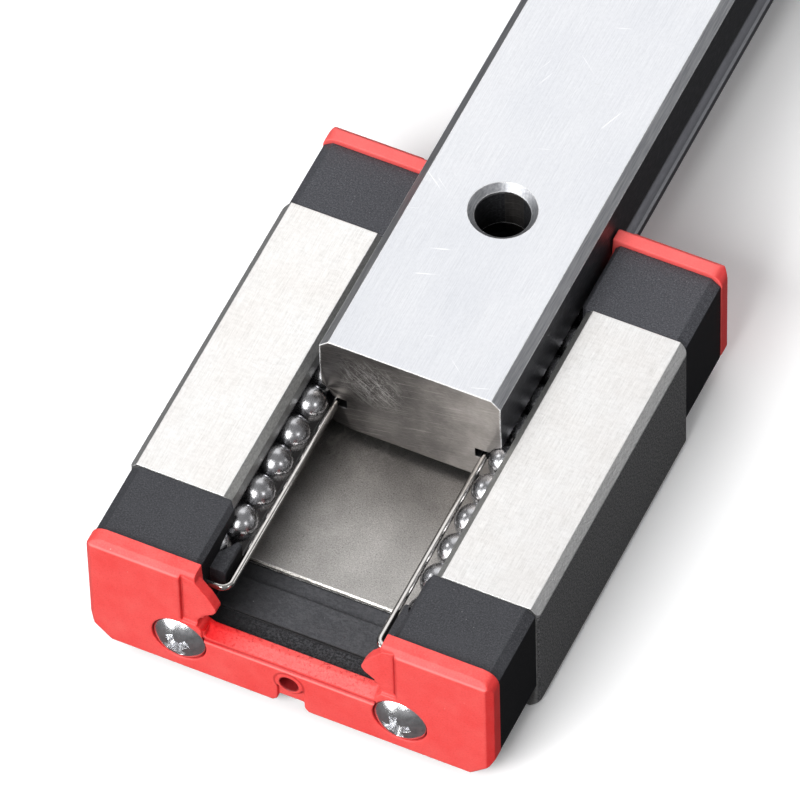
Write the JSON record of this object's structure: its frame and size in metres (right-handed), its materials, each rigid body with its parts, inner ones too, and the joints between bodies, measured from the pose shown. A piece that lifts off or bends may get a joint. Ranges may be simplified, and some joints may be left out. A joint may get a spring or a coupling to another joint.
{
  "type": "linear guide carriage",
  "caption": "Miniature profile-rail carriage with recirculating balls, end caps and wiping seals, lying on its mounting face, with a length of its rail part-way in.",
  "frame": {"origin": "centre of the four mounting threads, on the mounting face", "axes": "+X across the carriage, +Y along the rail towards the end from which the rail leaves, +Z from the mounting face towards the rail's base"},
  "size_m": [0.027, 0.093, 0.013],
  "materials": {
    "block_steel": "ground top and mounting faces, darker scale-like sides, satin channel floor",
    "rail_steel": "fine ground, long scratches, darker sides",
    "cap_plastic": "moulded charcoal plastic, lightly textured",
    "guide_plastic": "moulded charcoal plastic",
    "seal_rubber": "matte salmon-red moulded rubber",
    "screw_plate": "bright plated",
    "wire_steel": "drawn stainless wire",
    "ball_steel": "polished bearing steel"
  },
  "bodies": {
    "carriage": {"carriage_block": "block_steel", "front_end_cap": "cap_plastic", "rear_end_cap": "cap_plastic", "front_end_seal": "seal_rubber", "rear_end_seal": "seal_rubber", "front_left_screw": "screw_plate", "front_right_screw": "screw_plate", "rear_left_screw": "screw_plate", "rear_right_screw": "screw_plate", "left_retainer_wire": "wire_steel", "right_retainer_wire": "wire_steel", "front_left_return_guide": "guide_plastic", "front_right_return_guide": "guide_plastic", "rear_left_return_guide": "guide_plastic", "rear_right_return_guide": "guide_plastic"},
    "rail": {"rail": "rail_steel"},
    "left_load_row": {"left_load_balls": "ball_steel"},
    "left_return_row": {"left_return_balls": "ball_steel"},
    "rear_left_turn": {"rear_left_turn_balls": "ball_steel"},
    "front_left_turn": {"front_left_turn_balls": "ball_steel"},
    "right_load_row": {"right_load_balls": "ball_steel"},
    "right_return_row": {"right_return_balls": "ball_steel"},
    "rear_right_turn": {"rear_right_turn_balls": "ball_steel"},
    "front_right_turn": {"front_right_turn_balls": "ball_steel"}
  },
  "joints": [
    {"name": "rail_slide", "type": "slide", "parent": "carriage", "child": "rail", "axis": [0, 1, 0], "range_m": [-0.05775, 0.01725]},
    {"name": "left_load_row_slide", "type": "slide", "parent": "carriage", "child": "left_load_row", "axis": [0, 1, 0], "range_m": [-0.00049, 0.00194]},
    {"name": "left_return_row_slide", "type": "slide", "parent": "carriage", "child": "left_return_row", "axis": [0, 1, 0], "range_m": [-0.00195, 0.00049]},
    {"name": "rear_left_turn_hinge", "type": "hinge", "parent": "carriage", "child": "rear_left_turn", "pos_m": [-0.0088, 0.01094, 0.0073], "axis": [0, 0, 1], "range_deg": [-12.12, 48.17]},
    {"name": "front_left_turn_hinge", "type": "hinge", "parent": "carriage", "child": "front_left_turn", "pos_m": [-0.0088, -0.01094, 0.0073], "axis": [0, 0, 1], "range_deg": [-12.12, 48.17]},
    {"name": "right_load_row_slide", "type": "slide", "parent": "carriage", "child": "right_load_row", "axis": [0, 1, 0], "range_m": [-0.00136, 0.00106]},
    {"name": "right_return_row_slide", "type": "slide", "parent": "carriage", "child": "right_return_row", "axis": [0, 1, 0], "range_m": [-0.00107, 0.00137]},
    {"name": "rear_right_turn_hinge", "type": "hinge", "parent": "carriage", "child": "rear_right_turn", "pos_m": [0.0088, 0.01094, 0.0073], "axis": [0, 0, 1], "range_deg": [-26.45, 33.85]},
    {"name": "front_right_turn_hinge", "type": "hinge", "parent": "carriage", "child": "front_right_turn", "pos_m": [0.0088, -0.01094, 0.0073], "axis": [0, 0, 1], "range_deg": [-26.45, 33.85]}
  ],
  "couplings": [
    {"joint": "left_return_row_slide", "follows": "left_load_row_slide", "ratio": -1},
    {"joint": "rear_left_turn_hinge", "follows": "left_load_row_slide", "rad_per_m": 430.95},
    {"joint": "front_left_turn_hinge", "follows": "left_load_row_slide", "rad_per_m": 430.95},
    {"joint": "right_return_row_slide", "follows": "right_load_row_slide", "ratio": -1},
    {"joint": "rear_right_turn_hinge", "follows": "right_load_row_slide", "rad_per_m": -430.95},
    {"joint": "front_right_turn_hinge", "follows": "right_load_row_slide", "rad_per_m": -430.95}
  ]
}
